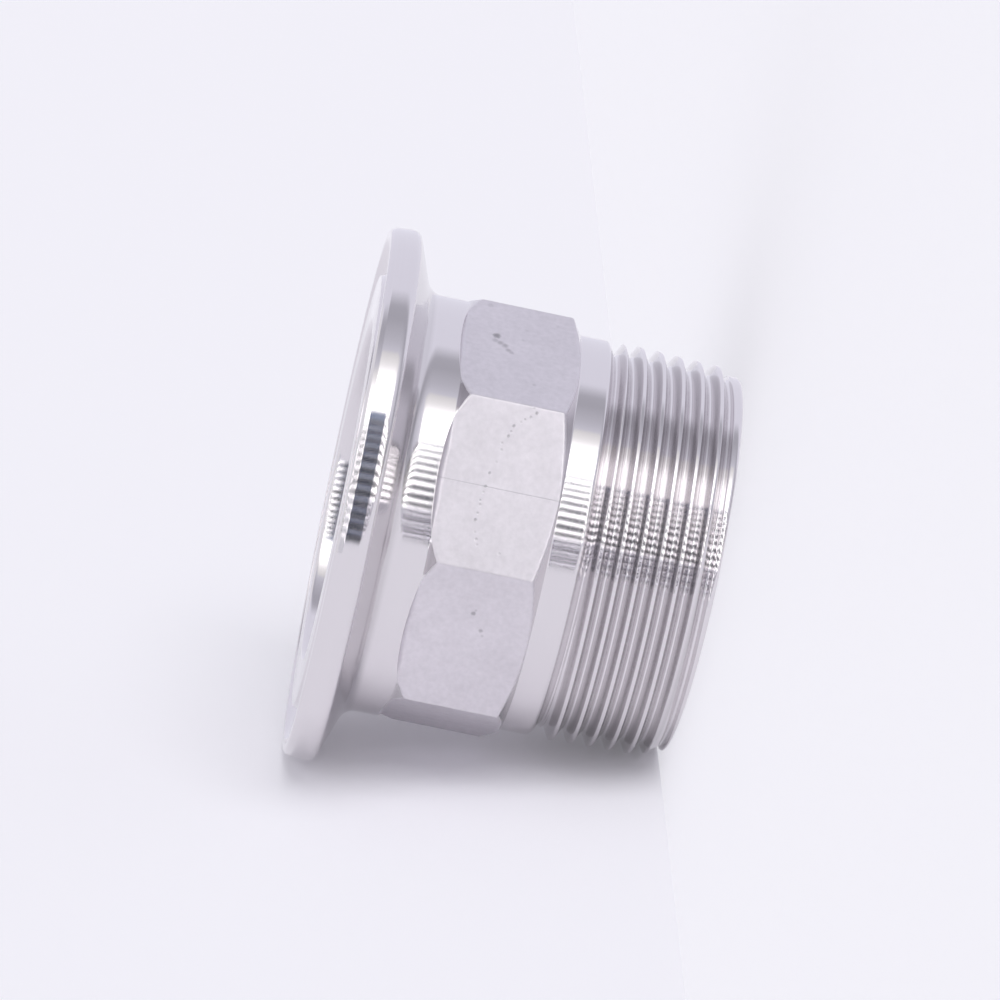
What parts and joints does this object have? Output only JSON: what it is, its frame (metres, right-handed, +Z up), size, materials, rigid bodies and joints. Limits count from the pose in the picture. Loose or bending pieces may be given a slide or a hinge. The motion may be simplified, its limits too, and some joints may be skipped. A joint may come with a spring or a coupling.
{
  "type": "sanitary clamp threaded adapter",
  "caption": "Stainless steel pipe fitting that joins a sanitary clamp ferrule to a female taper pipe thread, with a grooved flange, wrench flats and a straight bore",
  "frame": {"origin": "centre of the threaded end's face, on the bore's axis, where the fitting stands", "axes": "+Z runs up the bore from the threaded end to the sealing face of the clamp flange. +X is the side that faces up in the picture, and -Y the side that faces the camera"},
  "size_m": [0.064, 0.064, 0.044],
  "materials": {
    "stainless_steel": "turned and polished at the flange, neck, collar and thread, cast and blasted satin on the octagon"
  },
  "bodies": {
    "root": {"adapter_body": "stainless_steel"}
  },
  "joints": []
}
